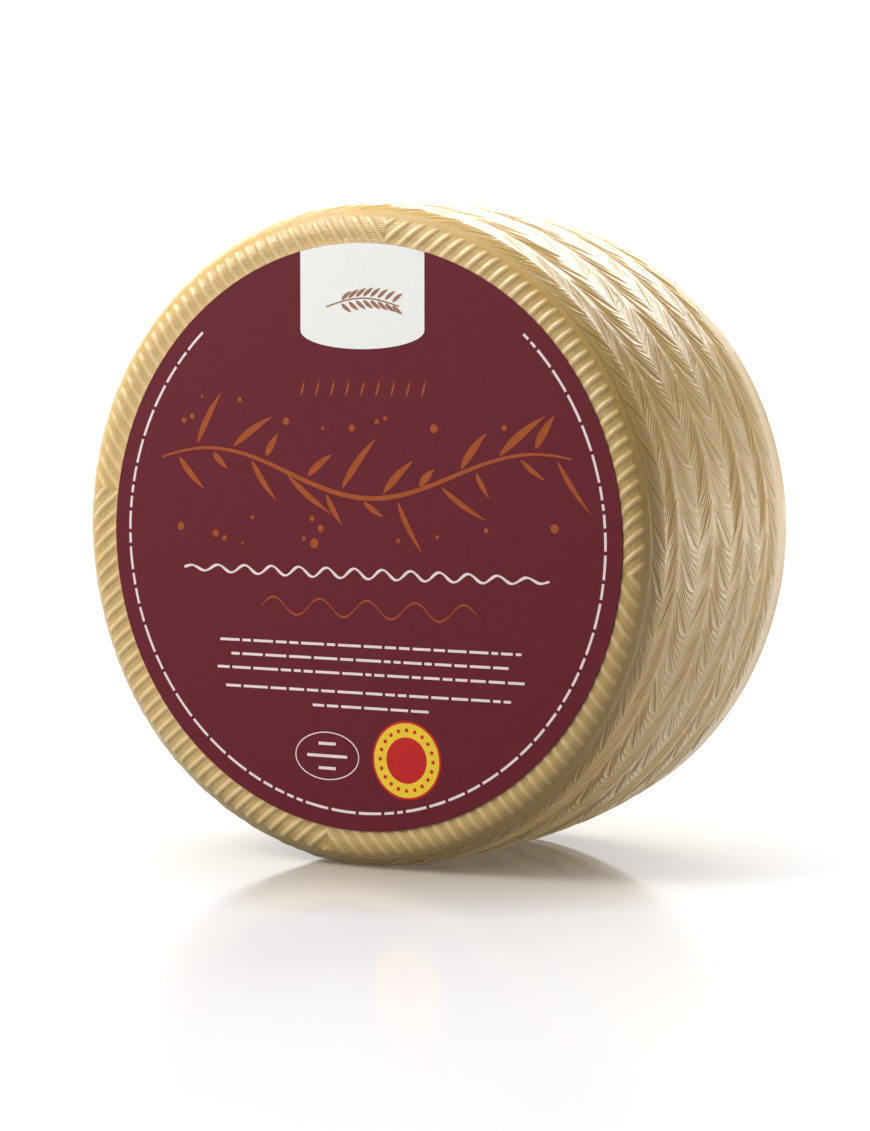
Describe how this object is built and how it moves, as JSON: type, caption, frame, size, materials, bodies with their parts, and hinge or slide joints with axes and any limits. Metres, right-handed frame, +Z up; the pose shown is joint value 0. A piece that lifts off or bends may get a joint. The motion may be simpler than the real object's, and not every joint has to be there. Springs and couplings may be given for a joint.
{
  "type": "manchego cheese wheel",
  "caption": "Wheel of hard sheep's milk cheese standing on its curved side, with a plaited print round the side, ridged faces and a round paper label on the front face",
  "frame": {"origin": "middle of the bounding box, on the floor under the wheel's flat foot", "axes": "Z is up, Y is the wheel's own axis, and the labelled face looks towards -Y"},
  "size_m": [0.2008, 0.0992, 0.1993],
  "materials": {
    "rind": "pale straw-yellow waxed cheese rind with a soft sheen",
    "label": "satin burgundy printed paper"
  },
  "bodies": {
    "root": {"cheese": "rind", "label": "label"}
  },
  "joints": []
}
